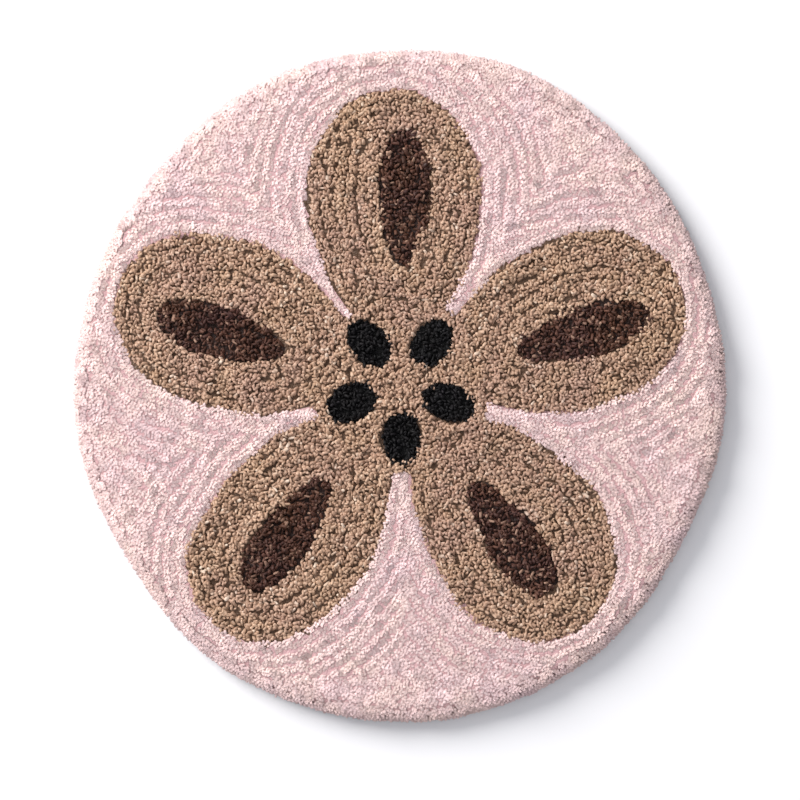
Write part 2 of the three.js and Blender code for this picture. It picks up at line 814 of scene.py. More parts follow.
@dataclass(frozen=True)
class Flower:
    """The inlaid pattern: petals with dark hearts round a centre with a ring of seeds.

    Attributes:
        petals: Number of petals, and of seeds.
        heading: Direction of the first petal in degrees.
        petal_start: Where the petals begin, from the middle.
        petal_length: Length of a petal.
        petal_width: Width of a petal.
        heart_start: Where the hearts begin.
        heart_length: Length of a heart.
        heart_width: Width of a heart.
        centre_radius: Radius of the centre.
        seed_ring: Radius of the ring that the seeds lie on.
        seed_length: Length of a seed.
        seed_width: Width of a seed.
        hand: How far the hand strays, as a share of each size.
        hand_turn: Degrees of stray in heading for a stray of one.
        petal_fullness: How far past its middle a petal is widest.
        heart_fullness: The same of a heart.
    """

    petals: int = 5
    heading: float = 90.0
    petal_start: float = 34.0
    petal_length: float = 174.0
    petal_width: float = 118.0
    heart_start: float = 84.0
    heart_length: float = 94.0
    heart_width: float = 36.0
    centre_radius: float = 62.0
    seed_ring: float = 36.0
    seed_length: float = 37.0
    seed_width: float = 26.0
    hand: float = 0.02
    hand_turn: float = 100.0
    petal_fullness: float = 0.16
    heart_fullness: float = 0.2

    def stray(self, seed: int) -> np.ndarray:
        """Three small random shares for one leaf's turn, length and width."""
        return self.hand * np.random.default_rng(seed).uniform(-1, 1, 3)

    def headings(self, lag: float = 0.0) -> list[float]:
        """Directions of the leaves of one ring, lag being a share of the step between them."""
        step = 360.0 / self.petals
        return [self.heading + step * (i + lag) for i in range(self.petals)]

    def ring(
        self, lag: float, draw: Draw, start: float, length: float, width: float, full: float
    ) -> list[Leaf]:
        """One ring of like leaves, each a little off as a hand draws it.

        Args:
            lag: Share of a step that the ring is turned by.
            draw: Picks how the leaves stray.
            start: Where they begin.
            length: Their length.
            width: Their width.
            full: Their fullness.

        Returns:
            The leaves in order.
        """
        leaves = []
        for number, heading in enumerate(self.headings(lag)):
            seed = draw.value + number
            turn, long, wide = self.stray(seed)
            leaves.append(
                Leaf(
                    heading + self.hand_turn * turn,
                    start,
                    length * (1 + long),
                    width * (1 + wide),
                    full,
                    seed=seed,
                )
            )
        return leaves

    def petal_leaves(self) -> list[Leaf]:
        """The petals."""
        sizes = (self.petal_start, self.petal_length, self.petal_width, self.petal_fullness)
        return self.ring(0.0, Draw.PETALS, *sizes)

    def heart_leaves(self) -> list[Leaf]:
        """The dark hearts of the petals."""
        sizes = (self.heart_start, self.heart_length, self.heart_width, self.heart_fullness)
        return self.ring(0.0, Draw.HEARTS, *sizes)

    def seed_leaves(self) -> list[Leaf]:
        """The seeds, which lie between the petals' directions."""
        start = self.seed_ring - self.seed_length / 2
        return self.ring(0.5, Draw.SEEDS, start, self.seed_length, self.seed_width, 0.0)

    def centre_leaf(self) -> Leaf:
        """The round centre."""
        across = 2 * self.centre_radius
        return Leaf(0.0, -self.centre_radius, across, across, seed=Draw.CENTRE.value)


# ---------------------------------------------------------------- rows of tufts


@dataclass(frozen=True)
class Guide:
    """A line that rows of tufts run along, on one side of it.

    Attributes:
        points: The line as a closed run of points, (n, 2).
        side: Unit normals towards the rows, (n, 2).
        rows: The most rows that follow it: 0 for a line that only bounds them.
    """

    points: np.ndarray
    side: np.ndarray
    rows: int

    @staticmethod
    def of(points: np.ndarray, rows: int, outward: bool = False) -> "Guide":
        """A guide along an anticlockwise closed line.

        Args:
            points: The line.
            rows: The most rows that follow it.
            outward: True if the rows lie outside the line.

        Returns:
            The guide, with normals square to the chord between each point's neighbours.
        """
        along = np.roll(points, -1, axis=0) - np.roll(points, 1, axis=0)
        along /= np.linalg.norm(along, axis=1)[:, None]
        inward = np.column_stack([-along[:, 1], along[:, 0]])
        return Guide(points, -inward if outward else inward, rows)


@dataclass
class Zone:
    """A part of the pile in one yarn.

    Attributes:
        name: Name of its piece.
        yarn: Its yarn.
        guides: The lines that its rows follow or stop at.
        holds: Tells which points of the spread-out pile belong to it.
    """

    name: str
    yarn: Yarn
    guides: list[Guide]
    holds: Callable[[np.ndarray], np.ndarray]


@dataclass
class Tufts:
    """Tufts as arrays, one entry a tuft.

    Attributes:
        places: Where each stands on the spread-out pile, (n, 2).
        across: Unit vector square to its row, or zero for a tuft between rows, (n, 2).
        rows: Its row's number, (n,).
    """

    places: np.ndarray
    across: np.ndarray
    rows: np.ndarray

    @staticmethod
    def join(parts: list["Tufts"]) -> "Tufts":
        """All the tufts of several lots in one."""
        names = ("places", "across", "rows")
        return Tufts(*(np.concatenate([getattr(part, name) for part in parts]) for name in names))

    def where(self, mask: np.ndarray) -> "Tufts":
        """The tufts that the mask picks."""
        return Tufts(self.places[mask], self.across[mask], self.rows[mask])


def nearest(points: np.ndarray, line: np.ndarray) -> np.ndarray:
    """Distance from each point to the nearest point of a line.

    Args:
        points: Points, (n, 2).
        line: The line's points, (m, 2), thinned here by half.

    Returns:
        The distances, (n,).
    """
    coarse = line[::2].astype(np.float32)
    gaps = points.astype(np.float32)[:, None, :] - coarse[None, :, :]
    return np.sqrt((gaps**2).sum(axis=2).min(axis=1))


@dataclass
class RowPlanner:
    """Runs rows of tufts along the guides, then thins crowds and fills holes.

    Attributes:
        pitch: Distance between rows.
        spacing: Distance between tufts along a row.
        border: Gap from a line to the first row along it, as a share of the pitch.
        slack: How much closer than it should a row may come to another line.
        near: How much closer to its own line a row may come where the line bends.
        jitter: How far a tuft strays from its place.
        crowd: Two tufts closer than this lose one.
        hole: A spot further than this from every tuft gets one more.
        rng: Source of the random draws.
        row_number: Number of the last row made. Rows 1 and 2 lean together, then 3 and 4.
    """

    pitch: float = 4.2
    spacing: float = 4.0
    border: float = 0.42
    slack: float = 0.7
    near: float = 0.25
    jitter: float = 0.45
    crowd: float = 2.5
    hole: float = 2.95
    rng: np.random.Generator = field(
        default_factory=lambda: np.random.default_rng(Draw.ROWS.value)
    )
    row_number: int = 0

    def reserve(self, guide: Guide, other: Guide, gap: float) -> float:
        """How far a row must stay from another line.

        Args:
            guide: The line that the row follows.
            other: The other line.
            gap: The row's distance from its own line.

        Returns:
            The border from a line that only bounds the zone, the other line's own rows and half
            a pitch more where those are few, and otherwise the row's own distance, so that the
            rows of two lines meet midway.
        """
        if other.rows == 0 or (guide.rows < EVERY_ROW <= other.rows):
            return self.border * self.pitch
        if other.rows < EVERY_ROW <= guide.rows:
            return (other.rows + 0.5) * self.pitch
        return gap

    def rows_along(self, zone: Zone, guide: Guide) -> list[Tufts]:
        """The rows that follow one guide of a zone.

        Args:
            zone: The zone.
            guide: One of its guides.

        Returns:
            One lot of tufts a row.
        """
        made = []
        self.row_number += self.row_number % 2
        for row in range(guide.rows):
            self.row_number += 1
            gap = (row + self.border) * self.pitch
            line = guide.points + gap * guide.side
            keep = zone.holds(line)
            if not keep.any():
                break
            keep &= nearest(line, guide.points) > gap - self.near
            for other in zone.guides:
                if other is not guide and keep.any():
                    least = self.reserve(guide, other, gap) - self.slack
                    keep[keep] = nearest(line[keep], other.points) > least
            if not keep.any():
                continue
            first = int(np.argmin(keep)) if not keep.all() else 0
            line, keep = np.roll(line, -first, axis=0), np.roll(keep, -first)
            side = np.roll(guide.side, -first, axis=0)
            step = np.hypot(*(line - np.roll(line, 1, axis=0)).T)
            run = np.cumsum(np.where(keep & np.roll(keep, 1), np.minimum(step, self.pitch), 0.0))
            cell = np.floor((run + self.rng.uniform(0, self.spacing)) / self.spacing)
            picked = np.unique(cell[keep], return_index=True)[1]
            rows = np.full(len(picked), self.row_number)
            made.append(Tufts(line[keep][picked], side[keep][picked], rows))
        return made

    def clearance(self, places: np.ndarray, half: int, reach: int = 7) -> np.ndarray:
        """Distance to the nearest tuft over a grid of 1 mm cells, up to the reach.

        Args:
            places: The tufts' places.
            half: Half the grid's side in cells.
            reach: How far the distances are worked out.

        Returns:
            The grid, with the reach where no tuft is that near.
        """
        grid = np.full((2 * half, 2 * half), float(reach))
        cell = np.floor(places).astype(int)
        for i in range(-reach, reach + 1):
            for j in range(-reach, reach + 1):
                at = cell + (i, j)
                gaps = np.hypot(*(at + 0.5 - places).T)
                np.minimum.at(grid, (at[:, 0] + half, at[:, 1] + half), gaps)
        return grid

    def thin(self, tufts: Tufts) -> Tufts:
        """Drops the later of each two tufts that stand too close.

        Args:
            tufts: The tufts.

        Returns:
            Those that stay, in the same order.
        """
        lot = 800
        places = tufts.places.astype(np.float32)
        keep = np.ones(len(places), dtype=bool)
        for start in range(0, len(places), lot):
            block = places[start : start + lot]
            close = ((block[:, None, :] - places[None, :, :]) ** 2).sum(axis=2) < self.crowd**2
            order = np.arange(start, start + len(block))
            earlier = np.arange(len(places))[None, :] < order[:, None]
            keep[order] = ~(close & earlier).any(axis=1)
        return tufts.where(keep)

    def fill(
        self, tufts: Tufts, inside: Callable[[np.ndarray], np.ndarray], half: int = 260
    ) -> Tufts:
        """Adds a tuft in each hole between the rows, the widest spots first.

        Args:
            tufts: The tufts so far.
            inside: Tells which points are on the mat.
            half: Half the side of the searched square.

        Returns:
            The tufts with the added ones last.
        """
        rounds, window, tie_break = 8, 3, 1e-3
        middles = np.arange(-half, half) + 0.5
        spots = np.stack(np.meshgrid(middles, middles, indexing="ij"), axis=-1).reshape(-1, 2)
        allowed = inside(spots).reshape(2 * half, 2 * half)
        for _ in range(rounds):
            grid = np.where(allowed, self.clearance(tufts.places, half), 0.0)
            peak = grid > self.hole
            grid += tie_break * self.rng.random(grid.shape)
            for i in range(-window, window + 1):
                for j in range(-window, window + 1):
                    peak &= grid >= np.roll(grid, (i, j), axis=(0, 1))
            if not peak.any():
                break
            found = spots[peak.ravel()]
            self.row_number += 1
            added = Tufts(found, np.zeros((len(found), 2)), np.full(len(found), self.row_number))
            tufts = Tufts.join([tufts, added])
        return tufts

    def plan(self, zones: list[Zone], inside: Callable[[np.ndarray], np.ndarray]) -> Tufts:
        """All the tufts of the mat.

        Args:
            zones: The zones.
            inside: Tells which points are on the mat.

        Returns:
            The tufts, thinned, filled and strayed a little from their places.
        """
        pairs = [(zone, guide) for zone in zones for guide in zone.guides]
        lots = [lot for zone, guide in pairs for lot in self.rows_along(zone, guide)]
        tufts = self.fill(self.thin(Tufts.join(lots)), inside)
        tufts.places = tufts.places + self.rng.normal(0, self.jitter, tufts.places.shape)
        return tufts


# ---------------------------------------------------------------- meshes


def put_mesh(
    name: str,
    vertices: np.ndarray,
    loops: np.ndarray,
    sizes: np.ndarray,
    maps: Optional[dict[str, np.ndarray]] = None,
    values: Optional[dict[str, np.ndarray]] = None,
) -> bpy.types.Object:
    """Makes an object from whole arrays.

    Args:
        name: Its name.
        vertices: Points in millimetres, (n, 3).
        loops: The faces' vertex numbers one after the other.
        sizes: Corners of each face.
        maps: UV maps by name, one place a corner.
        values: Attributes by name, one number or one vector a vertex.

    Returns:
        The object, at the origin, smooth shaded.
    """
    mesh = bpy.data.meshes.new(name)
    mesh.vertices.add(len(vertices))
    mesh.vertices.foreach_set("co", (vertices * MM).astype(np.float32).ravel())
    mesh.loops.add(len(loops))
    mesh.loops.foreach_set("vertex_index", loops.astype(np.int32))
    mesh.polygons.add(len(sizes))
    starts = np.concatenate([[0], np.cumsum(sizes)[:-1]])
    mesh.polygons.foreach_set("loop_start", starts.astype(np.int32))
    mesh.update(calc_edges=True)
    mesh.polygons.foreach_set("use_smooth", np.ones(len(sizes), dtype=bool))
    for label, places in (maps or {}).items():
        layer = mesh.uv_layers.new(name=label)
        layer.data.foreach_set("uv", places.astype(np.float32).ravel())
    for label, numbers in (values or {}).items():
        flat = numbers.ndim == 1
        layer = mesh.attributes.new(label, "FLOAT" if flat else "FLOAT_VECTOR", "POINT")
        layer.data.foreach_set("value" if flat else "vector", numbers.astype(np.float32).ravel())
    made = bpy.data.objects.new(name, mesh)
    bpy.context.scene.collection.objects.link(made)
    return made


@dataclass(frozen=True)
class TuftForm:
    """The shape of one tuft: cut ends of soft yarn, their plies twisted round each other.

    Each ply is a slightly oval tube along a bent, twisted path, with a domed end. Only the length
    that can show is made, and its lower end is hidden in the pile. Neighbouring plies aren't kept
    apart, so they run into each other.

    Attributes:
        plies_per_tuft: Ply ends in a tuft.
        length: Length that is made.
        ply: Radius of a ply.
        uneven: How much plies differ in radius, as a share.
        lay: Distance of a ply's middle from the yarn's middle.
        splay: How much further apart the plies stand at the cut.
        pitch: Length of one turn of the twist.
        bend: How far a tuft's tip strays sideways, as a spread.
        stray: How much higher or lower than its tuft's a ply may be cut.
        curl: Least and most that a ply's end curls over to one side.
        knee: Where along the ply the curl begins, from 0 to 1.
        sway: How far a row leans to one side, as a spread.
        droop: How much lower than the skin a tip may be cut.
        mixed: How far the plies of one tuft differ in tone, from 0 to 1.
        ridge: How much higher or lower than the skin a stretch of a row stands, as a spread.
        pair: How far each row of a pair leans towards the other, which opens the furrows.
        comb: How far the plies' curl is combed into line with the row, from 0 to 1.
        broken: How unevenly that lean runs on, which breaks the furrows.
        arch: How far the shading of a row turns to its own side, as if each pair were one rib.
        clump: How far the shading of a clump of tufts turns to one side.
        clump_length: Typical length of a clump.
        squash: How far the plies are pressed into line with the row, from 0 to 1.
        upright: How far the shading turns to face straight up.
        dome: How far the tip stands out from the last section.
        ground: Height that no part goes under.
        sides: Sides of a ply's section.
        stations: Where the sections lie along the ply, from 0 to 1, and their radius as a share.
        opening: Least and most of the splay that a tuft gets.
        parting: Where along the ply the splay begins, and over what share it grows.
        least_heading: Shortest length that a combed curl's heading is scaled up from.
    """

    plies_per_tuft: int = 3
    length: float = 7.5
    ply: float = 1.1
    uneven: float = 0.25
    lay: float = 1.5
    splay: float = 0.8
    pitch: float = 11.0
    bend: float = 0.8
    stray: float = 1.0
    curl: tuple[float, float] = (0.5, 2.2)
    knee: float = 0.35
    sway: float = 1.1
    droop: float = 1.6
    mixed: float = 0.85
    ridge: float = 0.45
    pair: float = 0.5
    comb: float = 0.5
    broken: float = 0.6
    arch: float = 0.3
    clump: float = 0.15
    clump_length: float = 11.0
    squash: float = 0.0
    upright: float = 0.0
    dome: float = 0.45
    ground: float = 0.2
    sides: int = 5
    stations: tuple[tuple[float, float], ...] = (
        (0.0, 0.85),
        (0.7, 1.04),
        (1.0, 0.74),
    )
    opening: tuple[float, float] = (0.2, 1.6)
    parting: tuple[float, float] = (0.55, 0.45)
    least_heading: float = 0.2

    def faces(self) -> tuple[np.ndarray, np.ndarray]:
        """Corners of one ply's faces: bands of quads, a fan at the tip and one face at the base.

        Returns:
            The vertex numbers of all the faces in a row, and the corners of each face.
        """
        rings, sides = len(self.stations), self.sides
        ring = np.arange(sides)
        after = (ring + 1) % sides
        low = (np.arange(rings - 1) * sides)[:, None]
        quads = np.stack([low + ring, low + after, low + sides + after, low + sides + ring], axis=-1)
        top = (rings - 1) * sides
        fan = np.stack([top + ring, top + after, np.full(sides, rings * sides)], axis=-1)
        loops = np.concatenate([quads.ravel(), fan.ravel(), ring[::-1]])
        sizes = np.concatenate([np.full((rings - 1) * sides, 4), np.full(sides, 3), [sides]])
        return loops, sizes

    def wrap(self) -> np.ndarray:
        """Place of each corner on the flattened ply: round it and up it, both from 0 to 1.

        The base's corners lie on a thin oval just below the rest.

        Returns:
            The places, (corners, 2), in the order of the faces.
        """
        sides = self.sides
        high = np.array([s for s, _ in self.stations])
        left = np.arange(sides) / sides
        right = left + 1 / sides
        lower, upper = high[:-1, None] + 0 * left, high[1:, None] + 0 * left
        quads = np.stack(
            [
                np.stack([left + 0 * lower, lower], axis=-1),
                np.stack([right + 0 * lower, lower], axis=-1),
                np.stack([right + 0 * lower, upper], axis=-1),
                np.stack([left + 0 * lower, upper], axis=-1),
            ],
            axis=2,
        )
        end = np.full(sides, high[-1])
        fan = np.stack(
            [
                np.stack([left, end], axis=-1),
                np.stack([right, end], axis=-1),
                np.stack([(left + right) / 2, np.ones(sides)], axis=-1),
            ],
            axis=1,
        )
        turn = TURN * left[::-1]
        wide, thin, below = 0.3, 0.02, 0.03
        base = np.column_stack([0.5 + wide * np.cos(turn), thin * np.sin(turn) - below])
        return np.concatenate([quads.reshape(-1, 2), fan.reshape(-1, 2), base])

    def plies(
        self,
        tips: np.ndarray,
        roots: np.ndarray,
        lean: np.ndarray,
        square: np.ndarray,
        rng: np.random.Generator,
    ) -> np.ndarray:
        """Works out every ply of many tufts.

        A ply's middle at the share t of its length is the tuft's straight axis at t, plus its
        bend and lean times t squared, plus the ply's lay turned by the twist at t. Each section
        is a slightly oval ring square to the path.

        Args:
            tips: Tips of the tufts, (n, 3).
            roots: Their roots, (n, 3).
            lean: How far each tuft's row moves its tip, (n, 3).
            square: Unit vector square to each tuft's row, or zero, (n, 3).
            rng: Source of the random draws.

        Returns:
            The vertices, (plies, vertices of a ply, 3), the plies of a tuft together.
        """
        count = len(tips)
        axis = tips - roots
        axis /= np.linalg.norm(axis, axis=1)[:, None]
        beside = np.cross(np.array([0.0, 1.0, 0.0]) + 0 * axis, axis)
        beside /= np.linalg.norm(beside, axis=1)[:, None]
        across = np.cross(axis, beside)
        cut = tips - axis * rng.uniform(0, self.droop, count)[:, None]
        share = np.array([s for s, _ in self.stations] + [1.0])
        size = np.array([r for _, r in self.stations])
        shared = rng.normal(0, self.bend, (count, 2))
        start = rng.uniform(0, TURN, count)
        plies = []
        for number in range(self.plies_per_tuft):
            bent = beside * shared[:, :1] + across * shared[:, 1:] + lean
            length = self.length + rng.uniform(-self.stray, self.stray, count)
            way = rng.uniform(0, TURN, count)[:, None]
            heading = beside * np.cos(way) + across * np.sin(way)
            heading -= self.comb * square * (heading * square).sum(axis=1)[:, None]
            long = np.linalg.norm(heading, axis=1)
            heading /= np.maximum(long, self.least_heading)[:, None]
            curled = heading * rng.uniform(*self.curl, count)[:, None]
            bow = np.clip((share - self.knee) / (1 - self.knee), 0, 1) ** 2
            middle = (
                cut[:, None, :]
                - axis[:, None, :] * (self.length - length[:, None] * share[None, :])[..., None]
                + bent[:, None, :] * (share**2)[None, :, None]
                + curled[:, None, :] * bow[None, :, None]
            )
            part = number / self.plies_per_tuft
            turn = start[:, None] + TURN * (part + self.length / self.pitch * (share - 1)[None, :])
            opened = self.splay * rng.uniform(*self.opening, count)[:, None]
            first, over = self.parting
            lay = self.lay + opened * np.clip(share - first, 0, 1)[None, :] / over
            offset = lay[..., None] * (
                np.cos(turn)[..., None] * beside[:, None, :]
                + np.sin(turn)[..., None] * across[:, None, :]
            )
            aside = (offset * square[:, None, :]).sum(axis=2)[..., None]
            offset -= self.squash * square[:, None, :] * aside
            plies.append(self.tube(middle + offset, share, size, beside, rng))
        made = np.stack(plies, axis=1).reshape(self.plies_per_tuft * count, -1, 3)
        made[..., 2] = np.maximum(made[..., 2], self.ground)
        return made

    def tube(
        self,
        path: np.ndarray,
        share: np.ndarray,
        size: np.ndarray,
        beside: np.ndarray,
        rng: np.random.Generator,
    ) -> np.ndarray:
        """Rings of points along many paths, square to each path.

        Args:
            path: Middles of the sections, then the tip, (n, k + 1, 3).
            share: Where they lie, from 0 to 1.
            size: Radius of each as a share of the ply's.
            beside: A direction that is roughly square to each path, (n, 3).
            rng: Source of the random draws.

        Returns:
            The vertices, (n, k * sides + 1, 3): the rings and the tip.
        """
        count, rings = len(path), len(self.stations)
        sections = path[:, :rings]
        tangent = np.gradient(sections, share[:rings], axis=1)
        tangent /= np.linalg.norm(tangent, axis=2)[..., None]
        first = beside[:, None, :] - tangent * (tangent * beside[:, None, :]).sum(axis=2)[..., None]
        first /= np.linalg.norm(first, axis=2)[..., None]
        second = np.cross(tangent, first)
        angle = TURN * np.arange(self.sides) / self.sides
        spread = rng.uniform(1 - self.uneven, 1 + self.uneven, count)
        radius = self.ply * spread[:, None, None] * size[None, :, None]
        long_way = rng.uniform(0, TURN, count)[:, None, None]
        oval = 1 + self.uneven * np.cos(2 * (angle[None, None, :] - long_way))
        radius = radius * oval
        ring = sections[:, :, None, :] + radius[..., None] * (
            np.cos(angle)[None, None, :, None] * first[:, :, None, :]
            + np.sin(angle)[None, None, :, None] * second[:, :, None, :]
        )
        tip = path[:, rings:] + tangent[:, -1:] * self.dome
        return np.concatenate([ring.reshape(count, -1, 3), tip], axis=1)


def cells(count: int, wrap: np.ndarray) -> np.ndarray:
    """Lays many like plies out on one square, a cell each, so that none overlap.

    Args:
        count: Number of plies.
        wrap: Places of one ply's corners, from 0 to 1, with the base's just below 0.

    Returns:
        The places, (count * corners, 2).
    """
    margin, filled = 0.06, 0.88
    foot, tall = 0.06, 1.06
    across = math.ceil(math.sqrt(count))
    down = math.ceil(count / across)
    number = np.arange(count)
    corner = np.column_stack([number % across, number // across])
    inner = margin + filled * np.column_stack([wrap[:, 0], (wrap[:, 1] + foot) / tall])
    return ((corner[:, None, :] + inner[None, :, :]) / (across, down)).reshape(-1, 2)


# ---------------------------------------------------------------- sub-assemblies


@dataclass
class MatBed:
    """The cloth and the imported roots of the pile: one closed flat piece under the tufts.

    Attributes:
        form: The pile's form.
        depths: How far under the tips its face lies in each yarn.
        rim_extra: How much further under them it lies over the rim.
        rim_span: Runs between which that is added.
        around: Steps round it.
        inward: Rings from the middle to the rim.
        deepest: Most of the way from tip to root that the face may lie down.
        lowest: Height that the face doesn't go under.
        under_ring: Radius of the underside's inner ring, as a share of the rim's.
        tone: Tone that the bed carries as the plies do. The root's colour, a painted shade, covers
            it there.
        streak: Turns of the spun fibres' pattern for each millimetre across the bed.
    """

    form: PileForm
    depths: tuple[float, ...] = (1.35, 3.0, 3.0, 3.0)
    rim_extra: float = 0.5
    rim_span: tuple[float, float] = (208.0, 222.0)
    around: int = 216
    inward: int = 64
    deepest: float = 0.75
    lowest: float = 0.6
    under_ring: float = 0.55
    tone: float = 0.35
    streak: float = 0.2

    def build(self, zone_of: Callable[[np.ndarray], np.ndarray]) -> bpy.types.Object:
        """Makes the piece.

        The face is the tips' skin drawn in along each tuft by the depth, on a grid of the angle
        and the run. The underside is a flat disc of cloth, ringed by the cloth's cut edge.

        Args:
            zone_of: Gives the material number of points of the spread-out pile.

        Returns:
            The object, with the yarns' numbers as materials 0 to 3 and the cloth as 4.
        """
        angle = np.arange(self.around) * TURN / self.around
        share = np.linspace(0, 1, self.inward + 1)[1:]
        run = self.form.full_run() * share
        stretch = self.form.trim.stretch(angle)
        ring = np.column_stack([np.cos(angle), np.sin(angle)]) * stretch[:, None]
        flat = (run[:, None, None] * ring[None, :, :]).reshape(-1, 2)
        tips, roots = self.form.tips_and_roots(np.concatenate([flat, [[0.0, 0.0]]]))
        way = tips - roots
        long = np.linalg.norm(way, axis=1)
        depth = np.append(np.array(self.depths)[zone_of(flat)], self.depths[0])
        runs = np.append(np.repeat(run, self.around), 0.0)
        depth += self.rim_extra * np.interp(runs, self.rim_span, (0.0, 1.0))
        face = tips - way * np.minimum(depth / long, self.deepest)[:, None]
        face[:, 2] = np.maximum(face[:, 2], self.lowest)
        rim = face[(self.inward - 1) * self.around : self.inward * self.around]
        under = np.column_stack([rim[:, :2], np.zeros(self.around)])
        inner = np.column_stack([rim[:, :2] * self.under_ring, np.zeros(self.around)])
        points = np.concatenate([face[:-1], under, inner, face[-1:], [[0.0, 0.0, 0.0]]])
        ring_count = self.inward + 2
        here = np.arange(self.around)
        after = (here + 1) % self.around
        low = (np.arange(ring_count - 1) * self.around)[:, None]
        quads = np.stack(
            [low + here, low + self.around + here, low + self.around + after, low + after], axis=-1
        ).reshape(-1, 4)
        crown = ring_count * self.around
        fan = np.column_stack([here, after, np.full(self.around, crown)])
        last = (ring_count - 1) * self.around
        floor = np.column_stack([last + after, last + here, np.full(self.around, crown + 1)])
        loops = np.concatenate([quads.ravel(), fan.ravel(), floor.ravel()])
        sizes = np.concatenate([np.full(len(quads), 4), np.full(2 * self.around, 3)])
        tone = np.full(len(points), self.tone)
        wrap = np.column_stack([points[loops][:, 0] * self.streak, np.zeros(len(loops))])
        up = np.tile([0.0, 0.0, 1.0], (len(points), 1))
        made = put_mesh("mat_bed", points, loops, sizes, {"yarn": wrap}, {"tone": tone, "stand": up})

        cloth = len(Yarn)
        middle = flat.reshape(self.inward, self.around, 2)
        faces = (middle[:-1] + middle[1:]).reshape(-1, 2) / 2
        numbers = np.full(len(sizes), cloth)
        numbers[: len(faces)] = zone_of(faces)
        numbers[len(quads) : len(quads) + self.around] = zone_of(np.zeros((self.around, 2)))
        made.data.polygons.foreach_set("material_index", numbers.astype(np.int32))
        return made


